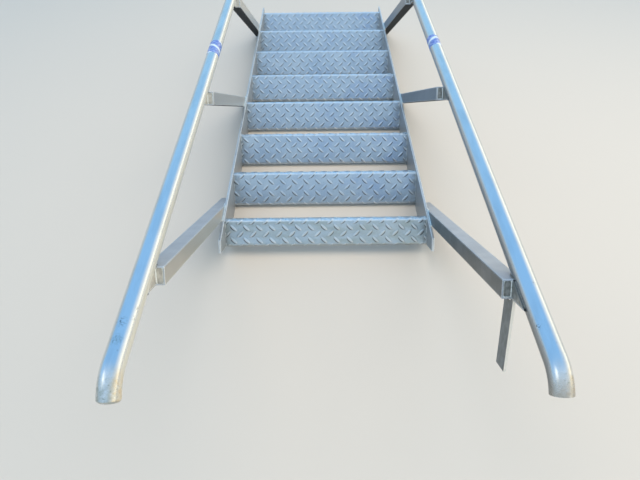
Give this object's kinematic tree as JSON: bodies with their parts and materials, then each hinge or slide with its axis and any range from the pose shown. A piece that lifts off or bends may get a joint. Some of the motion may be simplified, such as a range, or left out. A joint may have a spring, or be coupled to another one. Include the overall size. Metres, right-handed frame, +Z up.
{
  "type": "stair flight with handrails",
  "caption": "Steep welded stair flight off mobile boarding stairs, with chequered treads and tube handrails, lying on its back as stored.",
  "frame": {"origin": "middle of the bounding box on the floor, under the flight that lies on its back", "axes": "+X across the flight to the right as seen from its top end, +Y along the stringers from the top end to the foot, +Z up from the floor"},
  "size_m": [0.8112, 2.8971, 0.5222],
  "materials": {
    "chequered_sheet": "rolled chequered sheet, weathered",
    "stringer_plate": "rolled plate, weathered",
    "square_tube": "extruded, dull satin",
    "rail_tube": "extruded, hand-polished by use",
    "weld_bead": "bright weld bead",
    "marking_tape": "worn adhesive tape"
  },
  "bodies": {
    "root": {"stringer_left": "stringer_plate", "stringer_right": "stringer_plate", "tread_1": "chequered_sheet", "tread_2": "chequered_sheet", "tread_3": "chequered_sheet", "tread_4": "chequered_sheet", "tread_5": "chequered_sheet", "tread_6": "chequered_sheet", "tread_7": "chequered_sheet", "tread_8": "chequered_sheet", "stanchion_left_1": "square_tube", "stanchion_left_2": "square_tube", "stanchion_left_3": "square_tube", "stanchion_right_1": "square_tube", "stanchion_right_2": "square_tube", "stanchion_right_3": "square_tube", "head_plate_left_1": "square_tube", "head_plate_left_2": "square_tube", "head_plate_left_3": "square_tube", "head_plate_right_1": "square_tube", "head_plate_right_2": "square_tube", "head_plate_right_3": "square_tube", "rail_left": "rail_tube", "rail_right": "rail_tube", "rail_disc_left": "rail_tube", "rail_disc_right": "rail_tube", "tie_bar": "square_tube"}
  },
  "joints": []
}
